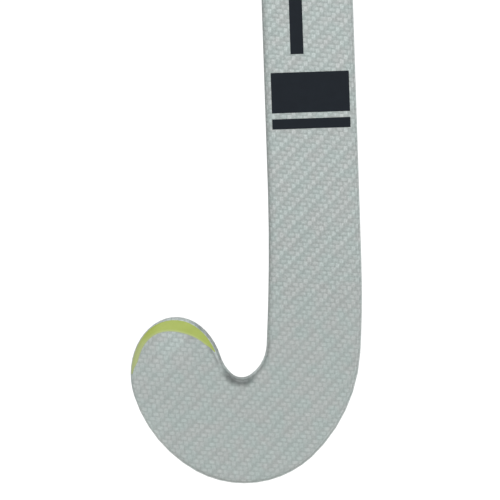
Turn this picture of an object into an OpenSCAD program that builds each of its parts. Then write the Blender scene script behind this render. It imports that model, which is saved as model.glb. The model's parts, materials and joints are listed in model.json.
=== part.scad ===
// Field hockey stick: a moulded composite shell over a foam head core and twin core tubes,
// with a plugged and capped butt and a wound grip. All lengths are in millimetres.
// The playing face looks towards -Y, the toe points towards -X and the butt is up.

/* [Stick] */
// Length from the sole to the end of the butt cap
stick_length = 927; // [890:1:965]
// Width of the shaft above the head
shaft_width = 45.6; // [42:0.1:50]
// Thickness of the shaft from the face to the back
shaft_thickness = 20; // [17:0.5:24]
// Width of the bare handle
handle_width = 30; // [27:0.5:34]
// Thickness of the bare handle
handle_thickness = 28; // [24:0.5:32]
// Width of the flat left on the face side of the handle
handle_flat = 8; // [6:0.5:12]
// Height at which the shaft starts to change into the handle
taper_start = 340; // [280:5:420]
// Height at which the handle's oval is reached
taper_end = 600; // [520:5:640]
// Rounding along the edges of the playing face
face_edge = 3; // [2.5:0.1:4.5]
// Fullness of the rounded back, where 2 is an ellipse
back_fullness = 2.3; // [2:0.1:3]

/* [Bow] */
// Depth of the bow, measured at the face
bow_depth = 18; // [0:1:25]
// Height up to which the playing face is flat
bow_start = 100; // [95:5:150]
// Height of the deepest point of the bow
bow_peak = 340; // [200:5:420]
// Height from which the handle is straight again
bow_end = 700; // [600:5:800]

/* [Head] */
// Radius of the slow curve that leads into the heel
heel_lead_radius = 513; // [420:1:620]
// Turn of the slow curve that leads into the heel, in degrees
heel_lead_turn = 5; // [4:0.1:6.5]
// Radius of the heel
heel_radius = 80.2; // [72:0.1:88]
// Turn of the heel curve, in degrees
heel_turn = 41.4; // [38:0.1:46]
// Radius of the sole
sole_radius = 49.6; // [45:0.1:54]
// Turn of the sole curve, in degrees
sole_turn = 76.7; // [72:0.1:81]
// Radius of the front of the toe
toe_front_radius = 67.9; // [55:0.1:80]
// Radius of the slow curve that leads into the throat
throat_lead_radius = 1050; // [900:1:1200]
// Turn of the slow curve that leads into the throat, in degrees
throat_lead_turn = 4.5; // [3.8:0.1:5]
// Height of the throat's neck above the heel's
throat_rise = 5.5; // [4:0.1:7]
// Radius of the shoulder between the shaft and the throat
shoulder_radius = 19.8; // [17:0.1:22]
// Turn of the shoulder, in degrees
shoulder_turn = 52.5; // [50:0.1:58]
// Radius at the bottom of the throat
throat_radius = 6.9; // [6:0.1:9]
// Turn at the bottom of the throat, in degrees
throat_turn = 74.4; // [68:0.1:78]
// Radius of the root of the toe
toe_root_radius = 19.8; // [15:0.1:24]
// Direction in which the toe points, in degrees above +X
toe_direction = 105.5; // [103:0.1:109]
// Length of the rounded end of the toe
toe_cap_length = 29.1; // [24:0.1:32]
// Thickness of the head over the sole
head_thickness = 21; // [18:0.5:25]
// Thickness of the head at the toe
toe_thickness = 17; // [15:0.5:20]

/* [Toe bevel] */
// Width of the bevel at its widest, from the face to the outline
bevel_width = 6.8; // [5:0.1:8]
// Depth of the bevel at its widest
bevel_depth = 4; // [3:0.1:5]
// Rim left outside the bevel at the front of the toe
front_rim = 0.7; // [0.3:0.1:1]
// Rim left outside the bevel at the root of the toe
root_rim = 1.9; // [1:0.1:2.2]

/* [Laminate and core] */
// Wall of the composite shell
shell_wall = 2.2; // [1.8:0.1:2.8]
// Wall of each core tube
tube_wall = 1; // [0.8:0.1:1.4]
// Height of the top of the foam core above the sole
core_height = 92; // [84:1:110]
// Length of the plug in the butt
plug_length = 50; // [35:1:70]
// Glue line between bonded pieces
bond_gap = 0.15; // [0.1:0.01:0.25]

/* [Butt cap] */
// Thickness of the cap over the end of the shell
cap_thickness = 5; // [4:0.1:8]
// Diameter of the cap's stem
stem_diameter = 9; // [7:0.1:12]
// Length of the cap's stem
stem_length = 28; // [18:1:34]
// Clearance between the stem and its bore
stem_clearance = 0.1; // [0.05:0.01:0.2]
// Room left in the bore below the stem
stem_room = 2; // [1:0.5:4]

/* [Grip] */
// Length of the grip from the cap down
grip_length = 298; // [250:1:330]
// Thickness of the cushion under the grip
underlay_thickness = 1.2; // [0.8:0.1:2]
// Thickness of the grip tape
tape_thickness = 1.6; // [1.2:0.1:2.2]
// Height of the ridge where a turn laps over the one below
lap_height = 0.8; // [0.4:0.1:1.2]
// Rise of the grip tape in one turn
tape_pitch = 25; // [22:0.5:30]
// Gap between neighbouring turns of the grip tape
turn_gap = 0.1; // [0.05:0.01:0.2]
// Width of the finishing tape at the lower end of the grip
finish_width = 24; // [18:1:32]
// Thickness of the finishing tape
finish_thickness = 0.4; // [0.3:0.05:0.6]

/* [Decals] */
// Thickness of the decal and paint films
film_thickness = 0.12; // [0.08:0.01:0.2]
// Width of the bands across the face
band_width = 39; // [30:0.5:39]
// Height of the wide band above the sole
wide_band_base = 187; // [175:1:200]
// Height of the wide band itself
wide_band_height = 20; // [14:0.5:26]
// Silver gap between the two bands
band_space = 3; // [2:0.5:6]
// Height of the narrow band
narrow_band_height = 5; // [3:0.5:8]
// Width of the stripe along the shaft
stripe_width = 6.5; // [4:0.5:12]
// Offset of the stripe's middle towards the toe side
stripe_offset = 6; // [0:0.5:8]
// Silver gap between the wide band and the stripe
stripe_space = 9; // [3:0.5:20]
// Length of the stripe
stripe_length = 170; // [120:5:220]

/* [Hidden] */

// How finely the surfaces are divided
shaft_ribs = 30;
head_ribs = 22;
cap_ribs = 24;
edge_steps = 3;
back_steps = 7;
// A narrow skin of resin that every surface film lies on, and the film's share kept off the rim
film_gap = 0.03;
film_margin = 0.02;
// The shaft's ribs lie closer together towards the head
rib_crowding = 1.5;
// Least distance kept between neighbouring ribs
least_spacing = 1;
// Least rounding on the inside of the wall
least_round = 0.8;
// Depth over which the bevel's rim rounds into the side
rim_depth = 2.2;
// Turns round the toe's rounded end at which the bevel starts and ends, from its tip at 0
bevel_from = -45;
bevel_to = 100;
// How the bevel leans towards the toe's root, and how softly it runs out, where 1 is a plain sine
bevel_lean = 1.05;
bevel_run_out = 2.5;
// Shares of the tape's width at which the lap's ridge peaks and ends
lap_peak = 0.08;
lap_end = 0.3;
// Share of the ridge's height that the tape's rolled edge has
lap_edge = 0.75;
// Share of the way round the head at which it is thickest
thickest = 0.5;
// Turns round the toe's rounded end at which the film starts and ends
film_from = -72;
film_to = 86;
// Turns over which it widens from its point at the front, and narrows to its point at the root
film_lead = 20;
film_tail = 16;
// Turns between which it draws back from the rim
rim_bare_from = -20;
rim_bare_to = 20;
// The cap's edge, as shares of its height and of the wrapping's depth that it is set in by
cap_edge = [[1, 1.1], [0.85, 0.45], [0.6, 0.15], [0, 0]];
// A turn for the last arc of a chain, which is cut off where its user stops
open_turn = 180;
// How far the bore's cutter and the cap's stem run past the surface that they meet
overrun = 1;

down = 270;
half_shaft = shaft_width / 2;
level_count = edge_steps + back_steps;
ring_count = 2 * level_count + 1;

// ---- Outline of the head -----------------------------------------------------------------

// End of an arc that leaves point p with heading h and turns clockwise by a turn
function arc_end(p, h, radius, turn) =
    p + radius * [sin(h) - sin(h - turn), cos(h - turn) - cos(h)];

// Point on a chain of [radius, turn] arcs, after a total turn
function on_arcs(p, h, arcs, turn, i = 0) =
    i == len(arcs) - 1 || turn <= arcs[i][1]
        ? arc_end(p, h, arcs[i][0], turn)
        : on_arcs(arc_end(p, h, arcs[i][0], arcs[i][1]), h - arcs[i][1], arcs, turn - arcs[i][1], i + 1);

heel_arcs = [
    [heel_radius, heel_turn],
    [sole_radius, sole_turn],
    [toe_front_radius, open_turn]
];
throat_arcs = [
    [shoulder_radius, shoulder_turn],
    [throat_radius, throat_turn],
    [toe_root_radius, open_turn]
];
heel_heading = down - heel_lead_turn;
throat_heading = down - throat_lead_turn;
heel_lead_drop = heel_lead_radius * (1 - cos(heel_lead_turn));
throat_lead_drop = throat_lead_radius * (1 - cos(throat_lead_turn));

// The sole is where the heel side's heading is level, so the neck's height follows from the arcs
sole_drop = on_arcs([0, 0], heel_heading, heel_arcs, heel_heading - 180)[1];
neck_height = -sole_drop;
heel_neck = [half_shaft - heel_lead_drop, neck_height];
throat_neck = [-half_shaft - throat_lead_drop, neck_height + throat_rise];

function heel_rail(u) = on_arcs(heel_neck, heel_heading, heel_arcs, u * (heel_heading - toe_direction));
function throat_rail(u) = on_arcs(throat_neck, throat_heading, throat_arcs, u * (throat_heading - toe_direction));

toe_front = heel_rail(1);
toe_root = throat_rail(1);
toe_middle = (toe_front + toe_root) / 2;
toe_reach = toe_cap_length * [cos(toe_direction), sin(toe_direction)];

// Outline of the toe's rounded end, from the front at -90 degrees to the root at 90
function toe_outline(angle) = toe_middle + cos(angle) * toe_reach + sin(angle) * (toe_root - toe_front) / 2;

// ---- Shaft -------------------------------------------------------------------------------

shell_top = stick_length - cap_thickness;
heel_lead_top = neck_height + heel_lead_radius * sin(heel_lead_turn);
throat_lead_top = throat_neck[1] + throat_lead_radius * sin(throat_lead_turn);
shaft_base = throat_neck[1];

// Sideways drift of a slow lead curve at height z
function lead_drift(z, top, radius) = z >= top ? 0 : radius - sqrt(radius * radius - pow(top - z, 2));

// Smooth step from 0 to 1 between heights a and b
function blend(z, a, b) = z <= a ? 0 : z >= b ? 1 : (1 - cos(180 * (z - a) / (b - a))) / 2;

function mix(a, b, k) = a + (b - a) * k;
function to_handle(z) = blend(z, taper_start, taper_end);
function half_width(z) = mix(shaft_width, handle_width, to_handle(z)) / 2;
function bow(z) = bow_depth * (blend(z, bow_start, bow_peak) - blend(z, bow_peak, bow_end));

// A rib is [heel point, throat point, face, thickness, edge width, edge depth]
function shaft_rib(z) =
    let (
        half = half_width(z),
        k = to_handle(z),
        thick = mix(shaft_thickness, handle_thickness, k)
    )
    [
        [half - lead_drift(z, heel_lead_top, heel_lead_radius), z],
        [-half - lead_drift(z, throat_lead_top, throat_lead_radius), z],
        bow(z),
        thick,
        mix(face_edge, half - handle_flat / 2, k),
        mix(face_edge, thick / 2, k)
    ];

// The head is thickest over the sole and thinner at the toe
function head_rib(u) = [
    heel_rail(u),
    throat_rail(u),
    0,
    u < thickest
        ? mix(shaft_thickness, head_thickness, blend(u, 0, thickest))
        : mix(head_thickness, toe_thickness, blend(u, thickest, 1)),
    face_edge,
    face_edge
];

all_heights = [
    for (i = [shaft_ribs:-1:1]) shaft_base + (shell_top - shaft_base) * pow(i / shaft_ribs, rib_crowding)
];

// Heights from top down to base, with the shaft's own rib heights between them
function heights(top, base) = concat(
    [top],
    [for (z = all_heights) if (z < top - least_spacing && z > base + least_spacing) z],
    [base]
);

head_part = [for (i = [0:head_ribs]) head_rib(i / head_ribs)];
function ribs_down_to_toe(top) = concat(
    [for (z = heights(top, shaft_base + 2 * least_spacing)) shaft_rib(z)],
    head_part
);

// ---- Sections ----------------------------------------------------------------------------

// A bevel is [share, rim]: how far it is developed, and the rim left outside it
no_bevel = [0, root_rim];

// The bevel is widest a little on the root's side of the toe's tip, and runs out at both ends
function bevel_at(angle) =
    let (u = (angle - bevel_from) / (bevel_to - bevel_from))
    u <= 0 || u >= 1
        ? no_bevel
        : [pow(sin(180 * pow(u, bevel_lean)), bevel_run_out), mix(front_rim, root_rim, u)];

// Least rounding kept inside the wall
function inner_round(size, g) = max(size - g, least_round);

// [inset, depth] from the face's edge to the widest point, with everything set in by g
function edge_level(i, edge_w, edge_d, bevel, g) =
    let (
        a = 90 * i / edge_steps,
        past_rim = (i - 1) / (edge_steps - 1),
        slope = atan2(bevel_depth, bevel_width - bevel[1]),
        round_level = [
            g + inner_round(edge_w, g) * (1 - sin(a)),
            g + inner_round(edge_d, g) * (1 - cos(a))
        ],
        bevel_level = i == 0
            ? [bevel_width + g * tan(slope / 2), g]
            : [
                g + bevel[1] * (1 - sin(90 * past_rim)),
                bevel_depth + g * tan(45 - slope / 2) + rim_depth * past_rim
            ]
    )
    mix(round_level, bevel_level, bevel[0]);

// All levels of one side of a section, ending one step before the spine
function side_levels(half, thick, edge_w, edge_d, bevel, g) =
    let (widest = edge_level(edge_steps, edge_w, edge_d, bevel, g))
    [
        for (i = [0:edge_steps]) edge_level(i, edge_w, edge_d, bevel, g),
        for (i = [1:back_steps - 1])
            let (a = 90 * i / back_steps)
            [
                mix(half, widest[0], pow(cos(a), 2 / back_fullness)),
                mix(widest[1], thick - g, pow(sin(a), 2 / back_fullness))
            ]
    ];

// One side as points in space, between an outline point and the spine
function side_points(edge, spine, rib, bevel, g) =
    let (half = norm(edge - spine))
    [
        for (level = side_levels(half, rib[3], rib[4], rib[5], bevel, g))
            let (p = edge + (spine - edge) * level[0] / half)
            [p[0], rib[2] + level[1], p[1]]
    ];

function reversed(list) = [for (i = [len(list) - 1:-1:0]) list[i]];

// A whole section: heel side, spine, throat side
function ring(rib, g) =
    let (spine = (rib[0] + rib[1]) / 2)
    concat(
        side_points(rib[0], spine, rib, no_bevel, g),
        [[spine[0], rib[2] + rib[3] - g, spine[1]]],
        reversed(side_points(rib[1], spine, rib, no_bevel, g))
    );

// ---- Lofts -------------------------------------------------------------------------------

// Two triangles for a quad, turned over when flip is true
function quad(a, b, c, d, flip) = flip ? [[a, b, c], [a, c, d]] : [[c, b, a], [d, c, a]];

// Skin between two rings of n points that start at indices a and b
function band(a, b, n, flip) = [
    for (i = [0:n - 1], t = quad(a + i, b + i, b + (i + 1) % n, a + (i + 1) % n, flip)) t
];

// Skin over a stack of rings of n points, from index first
function stack(first, rings, n, flip) = [
    for (i = [0:rings - 2], t = band(first + i * n, first + (i + 1) * n, n, flip)) t
];

function count_up(first, n) = [for (i = [0:n - 1]) first + i];

// Solid through a stack of rings, closed at both ends
module solid_stack(rings) {
    n = len(rings[0]);
    last = n * (len(rings) - 1);
    polyhedron(
        [for (r = rings, p = r) p],
        concat(stack(0, len(rings), n, false), [reversed(count_up(0, n))], [count_up(last, n)])
    );
}

// Tube with an outer and an inner stack of rings, open at both ends
module open_tube(outer, inner) {
    n = len(outer[0]);
    rings = len(outer);
    inside = n * rings;
    last = n * (rings - 1);
    polyhedron(
        [for (r = concat(outer, inner), p = r) p],
        concat(
            stack(0, rings, n, false),
            stack(inside, rings, n, true),
            band(inside, 0, n, false),
            band(last, inside + last, n, false)
        )
    );
}

// Points of the head's surface from height top down to the toe, set in by g
function toe_form_points(top, g) =
    let (toe_rib = head_rib(1))
    concat(
        [for (rib = ribs_down_to_toe(top), p = ring(rib, g)) p],
        [
            for (i = [1:cap_ribs - 1])
                let (angle = -90 + 180 * i / cap_ribs)
                for (p = side_points(toe_outline(angle), toe_middle, toe_rib, bevel_at(angle), g)) p
        ]
    );

// Index of a level in column c of the toe's end; columns 0 and cap_ribs are the last ring's sides
function cap_index(last, c, level) =
    c == 0 ? last + level
    : c == cap_ribs ? last + ring_count - 1 - level
    : last + ring_count + (c - 1) * level_count + level;

// Skin of the same surface, open at the top; first is the index of its first point
function toe_form_faces(first, rings, flip) =
    let (last = first + (rings - 1) * ring_count, spine = last + level_count)
    concat(
        stack(first, rings, ring_count, flip),
        [
            for (c = [0:cap_ribs - 1], i = [0:level_count - 2])
                for (t = quad(
                    cap_index(last, c, i),
                    cap_index(last, c + 1, i),
                    cap_index(last, c + 1, i + 1),
                    cap_index(last, c, i + 1),
                    flip
                )) t
        ],
        [
            for (c = [0:cap_ribs - 1])
                let (
                    a = cap_index(last, c, level_count - 1),
                    b = cap_index(last, c + 1, level_count - 1)
                )
                flip ? [a, b, spine] : [spine, b, a]
        ],
        [
            let (face = [for (c = [0:cap_ribs]) cap_index(last, c, 0)])
            flip ? reversed(face) : face
        ]
    );

// ---- Grip --------------------------------------------------------------------------------

grip_base = shell_top - grip_length;
underlay_outer = bond_gap + underlay_thickness;
tape_inner = underlay_outer + bond_gap;
tape_outer = tape_inner + tape_thickness + lap_height;
tape_width = tape_pitch - turn_gap;
tape_turns = grip_length / tape_pitch + 1;
tape_steps = floor(tape_turns * ring_count);

// Height of the lap's ridge at share u of the tape's width, from a rolled edge to flush
function lap(u) =
    u < lap_peak ? lap_height * mix(lap_edge, 1, u / lap_peak)
    : u < lap_end ? lap_height * (lap_end - u) / (lap_end - lap_peak)
    : 0;

// Section of the tape at one step of its winding, trimmed level at both ends of the grip
function tape_section(step) =
    let (
        low = grip_base - tape_pitch + tape_pitch * (step + 0.5) / ring_count,
        a = max(0, (grip_base - low) / tape_width),
        b = min(1, (shell_top - low) / tape_width),
        shares = [0, lap_peak, lap_end, 1]
    )
    concat(
        [
            for (s = shares)
                let (u = a + (b - a) * s)
                ring(shaft_rib(low + u * tape_width), -tape_inner - tape_thickness - lap(u))[step % ring_count]
        ],
        [
            for (u = [b, a])
                ring(shaft_rib(low + u * tape_width), -tape_inner)[step % ring_count]
        ]
    );

// ---- Sub-parts ---------------------------------------------------------------------------

module shell() {
    rings = len(ribs_down_to_toe(shell_top));
    outer = toe_form_points(shell_top, 0);
    inner = toe_form_points(shell_top, shell_wall);
    color("silver")
        polyhedron(
            concat(outer, inner),
            concat(
                toe_form_faces(0, rings, false),
                toe_form_faces(len(outer), rings, true),
                band(len(outer), 0, ring_count, false)
            )
        );
}

module head_core() {
    g = shell_wall + bond_gap;
    rings = len(ribs_down_to_toe(core_height));
    color("khaki")
        polyhedron(
            toe_form_points(core_height, g),
            concat(toe_form_faces(0, rings, false), [reversed(count_up(0, ring_count))])
        );
}

// Half of the shell's hollow, on the heel side when side is 1 and on the toe side when it is -1
function half_ring(z, g, side) =
    let (
        rib = shaft_rib(z),
        whole = ring(rib, g),
        levels = [for (i = [0:level_count - 1]) whole[side > 0 ? i : ring_count - 1 - i]],
        middle = (rib[0][0] + rib[1][0]) / 2 + side * (g - shell_wall - bond_gap / 2)
    )
    concat(
        [[middle, levels[0][1], z]],
        levels,
        [[middle, whole[level_count][1], z]]
    );

module core_tube(side) {
    outer = shell_wall + bond_gap;
    inner = outer + tube_wall;
    tube_heights = heights(shell_top - plug_length - bond_gap, core_height + bond_gap);
    outer_rings = [for (z = tube_heights) half_ring(z, outer, side)];
    inner_rings = [for (z = tube_heights) half_ring(z, inner, side)];
    turned = [for (r = [outer_rings, inner_rings]) [for (h = r) side > 0 ? h : reversed(h)]];
    open_tube(turned[0], turned[1]);
}

module core_tube_heel_side() {
    color("dimgray")
        core_tube(1);
}

module core_tube_toe_side() {
    color("gray")
        core_tube(-1);
}

// The stem's axis is in the middle of the handle's section
stem_y = handle_thickness / 2;

module butt_plug() {
    g = shell_wall + bond_gap;
    plug_base = shell_top - plug_length;
    bore = stem_diameter + 2 * stem_clearance;
    bore_depth = stem_length + stem_room;
    color("burlywood")
        difference() {
            solid_stack([for (z = heights(shell_top, plug_base)) ring(shaft_rib(z), g)]);
            translate([0, stem_y, shell_top - bore_depth])
                cylinder(d = bore, h = bore_depth + overrun, $fn = 48);
        }
}

module butt_cap() {
    rim = shaft_rib(shell_top);
    color("darkslategray")
        union() {
            solid_stack([
                for (step = cap_edge)
                    [
                        for (p = ring(rim, (step[1] - 1) * tape_outer))
                            [p[0], p[1], shell_top + step[0] * cap_thickness]
                    ]
            ]);
            translate([0, stem_y, shell_top - stem_length])
                cylinder(d = stem_diameter, h = stem_length + overrun, $fn = 48);
        }
}

module grip_underlay() {
    rows = heights(shell_top, grip_base);
    color("dimgray")
        open_tube(
            [for (z = rows) ring(shaft_rib(z), -underlay_outer)],
            [for (z = rows) ring(shaft_rib(z), -bond_gap)]
        );
}

module grip_tape() {
    color("midnightblue")
        solid_stack([for (step = [0:tape_steps - 1]) tape_section(step)]);
}

module finishing_tape() {
    over = tape_outer + bond_gap;
    // Height and inset of the tape's underside, from the grip down onto the bare shaft
    rows = [
        [grip_base + finish_width / 2, over],
        [grip_base - bond_gap, over],
        [grip_base - over, bond_gap],
        [grip_base - finish_width / 2, bond_gap]
    ];
    color("black")
        open_tube(
            [for (r = rows) ring(shaft_rib(r[0]), -r[1] - finish_thickness)],
            [for (r = rows) ring(shaft_rib(r[0]), -r[1])]
        );
}

// Film on the bevel around the toe's end, a crescent that runs out at both ends. At the front
// it also covers the rim, and it is folded where the bevel meets the rim
module toe_bevel_film() {
    lift = film_gap + film_thickness;
    sections = [
        for (i = [1:cap_ribs - 1])
            let (angle = -90 + 180 * i / cap_ribs)
                if (angle > film_from && angle < film_to)
                    let (
                        grown = min((angle - film_from) / film_lead, (film_to - angle) / film_tail),
                        outer = 2 - film_margin - blend(angle, rim_bare_from, rim_bare_to),
                        inner = outer * max(0, 1 - grown),
                        fold = min(max(1, inner + film_margin), outer - film_margin)
                    )
                    [
                        for (t = [outer, fold, inner]) bevel_point(angle, t, film_gap),
                        for (t = [inner, fold, outer]) bevel_point(angle, t, lift)
                    ]
    ];
    color("yellowgreen")
        solid_stack(sections);
}

// Outward direction, as [inset, depth], of a section's surface between levels i and i + 1
function level_normal(i, bevel) =
    let (
        step = edge_level(i + 1, face_edge, face_edge, bevel, 0)
            - edge_level(i, face_edge, face_edge, bevel, 0)
    )
    [-step[1], step[0]] / norm(step);

// Point on the toe's edge, at level t between the face at 0 and the rim from 1 to 2, raised
// off the surface
function bevel_point(angle, t, raise) =
    let (
        edge = toe_outline(angle),
        bevel = bevel_at(angle),
        i = t < 1 ? 0 : 1,
        on_edge = mix(
            edge_level(i, face_edge, face_edge, bevel, 0),
            edge_level(i + 1, face_edge, face_edge, bevel, 0),
            t - i
        ),
        fold = level_normal(0, bevel) + level_normal(1, bevel),
        normal = t == 1 ? fold * 2 / (fold * fold) : level_normal(i, bevel),
        level = on_edge + raise * normal,
        p = mix(edge, toe_middle, level[0] / norm(edge - toe_middle))
    )
    [p[0], level[1], p[1]];

// Film on the flat of the face between two heights, from x0 to x1
module face_film(x0, x1, top, base) {
    near = film_gap;
    far = film_gap + film_thickness;
    solid_stack([
        for (z = heights(top, base))
            [
                [x0, bow(z) - far, z],
                [x1, bow(z) - far, z],
                [x1, bow(z) - near, z],
                [x0, bow(z) - near, z]
            ]
    ]);
}

module band_decal() {
    narrow_base = wide_band_base - band_space - narrow_band_height;
    color("midnightblue") {
        face_film(-band_width / 2, band_width / 2, wide_band_base + wide_band_height, wide_band_base);
        face_film(-band_width / 2, band_width / 2, narrow_base + narrow_band_height, narrow_base);
    }
}

module stripe_decal() {
    stripe_base = wide_band_base + wide_band_height + stripe_space;
    color("midnightblue")
        face_film(
            -stripe_offset - stripe_width / 2,
            -stripe_offset + stripe_width / 2,
            stripe_base + stripe_length,
            stripe_base
        );
}

// ---- Placing: the origin is under the middle of the whole stick's box ----------------------

toe_end_x = min([for (i = [0:cap_ribs]) toe_outline(-90 + 180 * i / cap_ribs)[0]]);
middle_x = (toe_end_x + half_shaft) / 2;
shaft_back = max([for (z = all_heights) bow(z) + shaft_rib(z)[3]]);
middle_y = (shaft_back - tape_outer) / 2;

module placed() {
    translate([-middle_x, -middle_y, 0])
        children();
}

placed() shell();
placed() head_core();
placed() core_tube_toe_side();
placed() core_tube_heel_side();
placed() butt_plug();
placed() butt_cap();
placed() grip_underlay();
placed() grip_tape();
placed() finishing_tape();
placed() toe_bevel_film();
placed() band_decal();
placed() stripe_decal();
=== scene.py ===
"""Field hockey stick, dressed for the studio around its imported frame. All lengths are in metres."""

import json
import math

import bmesh
import bpy
from mathutils import Matrix, Vector


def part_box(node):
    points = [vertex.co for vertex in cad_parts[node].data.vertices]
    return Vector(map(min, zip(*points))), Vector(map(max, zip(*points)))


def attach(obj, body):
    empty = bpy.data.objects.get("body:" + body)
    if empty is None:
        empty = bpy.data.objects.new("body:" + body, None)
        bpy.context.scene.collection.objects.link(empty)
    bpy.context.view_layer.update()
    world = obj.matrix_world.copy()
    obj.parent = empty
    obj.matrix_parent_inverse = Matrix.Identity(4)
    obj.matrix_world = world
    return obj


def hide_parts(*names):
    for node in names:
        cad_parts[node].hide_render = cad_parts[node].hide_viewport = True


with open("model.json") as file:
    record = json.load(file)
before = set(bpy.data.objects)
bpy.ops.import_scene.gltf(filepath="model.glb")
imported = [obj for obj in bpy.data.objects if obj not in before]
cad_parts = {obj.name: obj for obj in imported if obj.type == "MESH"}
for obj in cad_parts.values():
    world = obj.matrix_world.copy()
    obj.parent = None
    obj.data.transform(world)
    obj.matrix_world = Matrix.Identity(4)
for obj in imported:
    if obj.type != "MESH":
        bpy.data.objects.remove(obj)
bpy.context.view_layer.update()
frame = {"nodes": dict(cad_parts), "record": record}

MM = 0.001

# ---- Head core and core tubes --------------------------------------------------------------
# A block of closed-cell foam fills the head, and two laminate tubes, rolled from carbon fibre
# that runs along them, fill the shaft side by side. The shell is moulded round all three.


def paint(code):
    """A hex colour as the linear values that a socket takes."""
    parts = [int(code[i : i + 2], 16) / 255 for i in (1, 3, 5)]
    return [p / 12.92 if p <= 0.04045 else ((p + 0.055) / 1.055) ** 2.4 for p in parts] + [1.0]


def add(tree, kind, inputs=(), **settings):
    """Add a node, set it, and give its inputs a value or a link."""
    node = tree.nodes.new(kind)
    for key, value in settings.items():
        setattr(node, key, value)
    for key, value in dict(inputs).items():
        if isinstance(value, bpy.types.NodeSocket):
            tree.links.new(value, node.inputs[key])
        else:
            node.inputs[key].default_value = value
    return node


def new_material(name):
    """An empty material, its node tree and its surface input."""
    material = bpy.data.materials.new(name)
    material.use_nodes = True
    material.node_tree.nodes.clear()
    output = add(material.node_tree, "ShaderNodeOutputMaterial")
    return material, material.node_tree, output.inputs["Surface"]


# Closed-cell polyurethane foam, cut by a router: a pale straw colour, and dull, with small open
# cells over its whole surface, painted darker in their pits as shade
foam, tree, surface = new_material("closed-cell polyurethane foam")
place = add(tree, "ShaderNodeTexCoord").outputs["Object"]
cells = add(tree, "ShaderNodeTexVoronoi", {"Vector": place, "Scale": 1 / (0.9 * MM)})
foam_colour = add(
    tree,
    "ShaderNodeMix",
    {"Factor": cells.outputs["Distance"], "A": paint("#a99a6c"), "B": paint("#ddd3ab")},
    data_type="RGBA",
)
cell_walls = add(
    tree, "ShaderNodeBump", {
        "Height": cells.outputs["Distance"], "Strength": 0.8, "Distance": 0.2 * MM
    }
)
foam_surface = add(
    tree,
    "ShaderNodeBsdfPrincipled",
    {
        "Base Color": foam_colour.outputs["Result"],
        "Roughness": 0.92,
        "Normal": cell_walls.outputs["Normal"],
    },
)
tree.links.new(foam_surface.outputs[0], surface)
frame["nodes"]["head_core"].material_slots[0].material = foam

# Carbon fibre in epoxy, bare from the mould: near black, with fine pale streaks along the fibre
carbon, tree, surface = new_material("unidirectional carbon laminate")
place = add(tree, "ShaderNodeTexCoord").outputs["Object"]
along_fibre = add(tree, "ShaderNodeMapping", {"Vector": place, "Scale": (1, 1, 0.01)})
fibres = add(
    tree, "ShaderNodeTexNoise", {
        "Vector": along_fibre.outputs[0], "Scale": 1 / (0.4 * MM), "Detail": 3.0
    }
)
carbon_colour = add(
    tree,
    "ShaderNodeMix",
    {"Factor": fibres.outputs["Fac"], "A": paint("#151617"), "B": paint("#3a3c3e")},
    data_type="RGBA",
)
fibre_relief = add(
    tree, "ShaderNodeBump", {
        "Height": fibres.outputs["Fac"], "Strength": 0.3, "Distance": 0.05 * MM
    }
)
carbon_surface = add(
    tree,
    "ShaderNodeBsdfPrincipled",
    {
        "Base Color": carbon_colour.outputs["Result"],
        "Roughness": 0.35,
        "Normal": fibre_relief.outputs["Normal"],
    },
)
tree.links.new(carbon_surface.outputs[0], surface)
for node in ("core_tube_toe_side", "core_tube_heel_side"):
    frame["nodes"][node].material_slots[0].material = carbon

# ---- Moulded shell -------------------------------------------------------------------------
# One hollow skin of glass and carbon cloth, pressed round the cores in a single mould. Its
# outer ply is an aluminium-coated glass cloth in a 2/2 twill, sealed under clear lacquer.


def welded_copy(node):
    """A bmesh of a CAD node with its loose triangles welded and paired into quads."""
    form = bmesh.new()
    form.from_mesh(frame["nodes"][node].data)
    bmesh.ops.remove_doubles(form, verts=form.verts, dist=0.01 * MM)
    bmesh.ops.join_triangles(
        form,
        faces=form.faces,
        angle_face_threshold=math.radians(25),
        angle_shape_threshold=math.radians(70),
    )
    return form


def finish_piece(form, name, node, materials, sharp=40):
    """Turn a bmesh into a smooth-shaded piece on the stick that stands for a CAD node."""
    mesh = bpy.data.meshes.new(name)
    form.to_mesh(mesh)
    form.free()
    for material in materials:
        mesh.materials.append(material)
    mesh.shade_smooth()
    mesh.set_sharp_from_angle(angle=math.radians(sharp))
    piece = bpy.data.objects.new(name, mesh)
    bpy.context.scene.collection.objects.link(piece)
    normals = piece.modifiers.new("Flat faces stay flat", "WEIGHTED_NORMAL")
    normals.keep_sharp = True
    normals.weight = 90
    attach(piece, "root")
    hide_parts(node)
    return piece


# The face's cloth wraps round the edges, up to where the back leans this far over
wrap_limit = 0.55


def lay_cloth(form):
    """Wrap the cloth's grid, in metres, over the face and its edges, with its own ply on the back."""
    form.normal_update()
    level_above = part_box("toe_bevel_film")[1].z
    head_face = min(vert.co.y for vert in form.verts)
    # Above the head the ribs are level, so each height has its own place on the bowed face
    rib_face = {}
    for vert in form.verts:
        height = round(vert.co.z / MM)
        rib_face[height] = min(vert.co.y, rib_face.get(height, vert.co.y))
    grid = form.loops.layers.uv.new("cloth")
    for face in form.faces:
        for loop in face.loops:
            p = loop.vert.co
            if face.normal.y > wrap_limit:
                loop[grid].uv = (-p.x, p.z)
                continue
            face_y = rib_face[round(p.z / MM)] if p.z > level_above else head_face
            out = Vector((loop.vert.normal.x, loop.vert.normal.z)).normalized() * (p.y - face_y)
            loop[grid].uv = (p.x + out.x, p.z + out.y)


warp_pitch = 2.0 * MM
weft_pitch = 2.26 * MM
cloth_turn = math.radians(1.9)
weft_slope = math.radians(3.5)


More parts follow.
